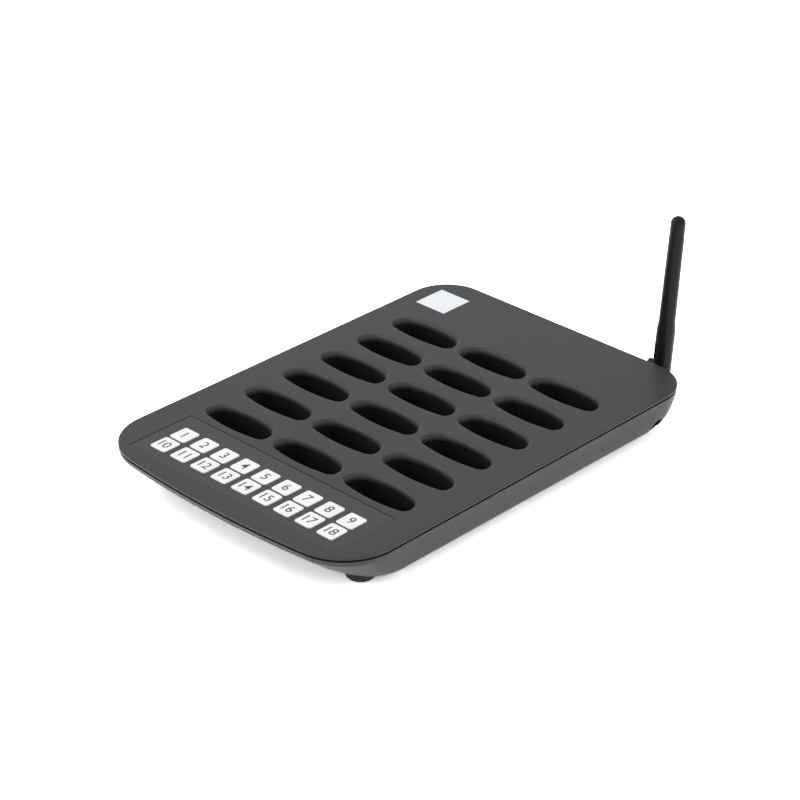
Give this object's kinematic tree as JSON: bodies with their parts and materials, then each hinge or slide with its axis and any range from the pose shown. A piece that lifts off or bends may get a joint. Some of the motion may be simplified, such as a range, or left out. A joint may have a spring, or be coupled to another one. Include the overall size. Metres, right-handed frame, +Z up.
{
  "type": "guest pager charging base",
  "caption": "Flat desk charging base for guest pagers with lens-shaped slots, a numbered call keypad along the front and a folding stub antenna at the rear.",
  "frame": {"origin": "centre of the bounding box in plan, on the table under the rubber feet", "axes": "+X to the right along the front edge as the user sees it, +Y to the rear, +Z up"},
  "size_m": [0.1996, 0.317, 0.1162],
  "materials": {
    "cover_plastic": "fine matt texture",
    "shell_plastic": "fine matt texture",
    "panel_plastic": "smooth matt film",
    "key_white": "smooth satin",
    "well_plastic": "matt black",
    "black_plastic": "satin",
    "circuit_board": "solder mask",
    "radio_board": "solder mask",
    "ribbon": "smooth",
    "contact_gold": "plated",
    "plated_steel": "zinc plated",
    "antenna_rubber": "satin",
    "foot_rubber": "matt",
    "label_white": "smooth paper film"
  },
  "bodies": {
    "base": {"top_cover": "cover_plastic", "bottom_shell": "shell_plastic", "keypad_panel": "panel_plastic", "keypad_board": "circuit_board", "key_switches": "black_plastic", "keypad_ribbon": "ribbon", "slot_strip_left": "well_plastic", "slot_strip_centre": "well_plastic", "slot_strip_right": "well_plastic", "charging_board_left": "circuit_board", "charging_board_centre": "circuit_board", "charging_board_right": "circuit_board", "charging_contacts_left": "contact_gold", "charging_contacts_centre": "contact_gold", "charging_contacts_right": "contact_gold", "main_board": "circuit_board", "board_links": "black_plastic", "control_chip": "black_plastic", "rf_module": "radio_board", "rf_shield": "plated_steel", "dc_jack": "black_plastic", "antenna_coax": "black_plastic", "antenna_connector": "contact_gold", "connector_nut": "contact_gold", "blank_label": "label_white", "case_screws": "plated_steel", "keypad_screws": "plated_steel", "foot_front_left": "foot_rubber", "foot_front_right": "foot_rubber", "foot_rear_left": "foot_rubber", "foot_rear_right": "foot_rubber"},
    "key_1": {"key_1": "key_white"},
    "key_2": {"key_2": "key_white"},
    "key_3": {"key_3": "key_white"},
    "key_4": {"key_4": "key_white"},
    "key_5": {"key_5": "key_white"},
    "key_6": {"key_6": "key_white"},
    "key_7": {"key_7": "key_white"},
    "key_8": {"key_8": "key_white"},
    "key_9": {"key_9": "key_white"},
    "key_10": {"key_10": "key_white"},
    "key_11": {"key_11": "key_white"},
    "key_12": {"key_12": "key_white"},
    "key_13": {"key_13": "key_white"},
    "key_14": {"key_14": "key_white"},
    "key_15": {"key_15": "key_white"},
    "key_16": {"key_16": "key_white"},
    "key_17": {"key_17": "key_white"},
    "key_18": {"key_18": "key_white"},
    "antenna_swivel": {"antenna_knuckle": "antenna_rubber", "antenna_pin": "plated_steel"},
    "antenna_mast": {"antenna_mast": "antenna_rubber", "antenna_cap": "antenna_rubber", "antenna_element": "contact_gold"}
  },
  "joints": [
    {"name": "press_key_1", "type": "slide", "parent": "base", "child": "key_1", "axis": [0, 0, -1], "range_m": [0, 0.0006], "stiffness_N_per_m": 2400, "springref_m": -0.0002},
    {"name": "press_key_2", "type": "slide", "parent": "base", "child": "key_2", "axis": [0, 0, -1], "range_m": [0, 0.0006], "stiffness_N_per_m": 2400, "springref_m": -0.0002},
    {"name": "press_key_3", "type": "slide", "parent": "base", "child": "key_3", "axis": [0, 0, -1], "range_m": [0, 0.0006], "stiffness_N_per_m": 2400, "springref_m": -0.0002},
    {"name": "press_key_4", "type": "slide", "parent": "base", "child": "key_4", "axis": [0, 0, -1], "range_m": [0, 0.0006], "stiffness_N_per_m": 2400, "springref_m": -0.0002},
    {"name": "press_key_5", "type": "slide", "parent": "base", "child": "key_5", "axis": [0, 0, -1], "range_m": [0, 0.0006], "stiffness_N_per_m": 2400, "springref_m": -0.0002},
    {"name": "press_key_6", "type": "slide", "parent": "base", "child": "key_6", "axis": [0, 0, -1], "range_m": [0, 0.0006], "stiffness_N_per_m": 2400, "springref_m": -0.0002},
    {"name": "press_key_7", "type": "slide", "parent": "base", "child": "key_7", "axis": [0, 0, -1], "range_m": [0, 0.0006], "stiffness_N_per_m": 2400, "springref_m": -0.0002},
    {"name": "press_key_8", "type": "slide", "parent": "base", "child": "key_8", "axis": [0, 0, -1], "range_m": [0, 0.0006], "stiffness_N_per_m": 2400, "springref_m": -0.0002},
    {"name": "press_key_9", "type": "slide", "parent": "base", "child": "key_9", "axis": [0, 0, -1], "range_m": [0, 0.0006], "stiffness_N_per_m": 2400, "springref_m": -0.0002},
    {"name": "press_key_10", "type": "slide", "parent": "base", "child": "key_10", "axis": [0, 0, -1], "range_m": [0, 0.0006], "stiffness_N_per_m": 2400, "springref_m": -0.0002},
    {"name": "press_key_11", "type": "slide", "parent": "base", "child": "key_11", "axis": [0, 0, -1], "range_m": [0, 0.0006], "stiffness_N_per_m": 2400, "springref_m": -0.0002},
    {"name": "press_key_12", "type": "slide", "parent": "base", "child": "key_12", "axis": [0, 0, -1], "range_m": [0, 0.0006], "stiffness_N_per_m": 2400, "springref_m": -0.0002},
    {"name": "press_key_13", "type": "slide", "parent": "base", "child": "key_13", "axis": [0, 0, -1], "range_m": [0, 0.0006], "stiffness_N_per_m": 2400, "springref_m": -0.0002},
    {"name": "press_key_14", "type": "slide", "parent": "base", "child": "key_14", "axis": [0, 0, -1], "range_m": [0, 0.0006], "stiffness_N_per_m": 2400, "springref_m": -0.0002},
    {"name": "press_key_15", "type": "slide", "parent": "base", "child": "key_15", "axis": [0, 0, -1], "range_m": [0, 0.0006], "stiffness_N_per_m": 2400, "springref_m": -0.0002},
    {"name": "press_key_16", "type": "slide", "parent": "base", "child": "key_16", "axis": [0, 0, -1], "range_m": [0, 0.0006], "stiffness_N_per_m": 2400, "springref_m": -0.0002},
    {"name": "press_key_17", "type": "slide", "parent": "base", "child": "key_17", "axis": [0, 0, -1], "range_m": [0, 0.0006], "stiffness_N_per_m": 2400, "springref_m": -0.0002},
    {"name": "press_key_18", "type": "slide", "parent": "base", "child": "key_18", "axis": [0, 0, -1], "range_m": [0, 0.0006], "stiffness_N_per_m": 2400, "springref_m": -0.0002},
    {"name": "antenna_turn", "type": "hinge", "parent": "base", "child": "antenna_swivel", "pos_m": [0.065, 0.14666, 0.0195], "axis": [0, 1, 0], "range_deg": [-90, 90]},
    {"name": "antenna_tilt", "type": "hinge", "parent": "antenna_swivel", "child": "antenna_mast", "pos_m": [0.065, 0.14666, 0.0195], "axis": [1, 0, 0], "range_deg": [-85.43, 4.57]}
  ]
}
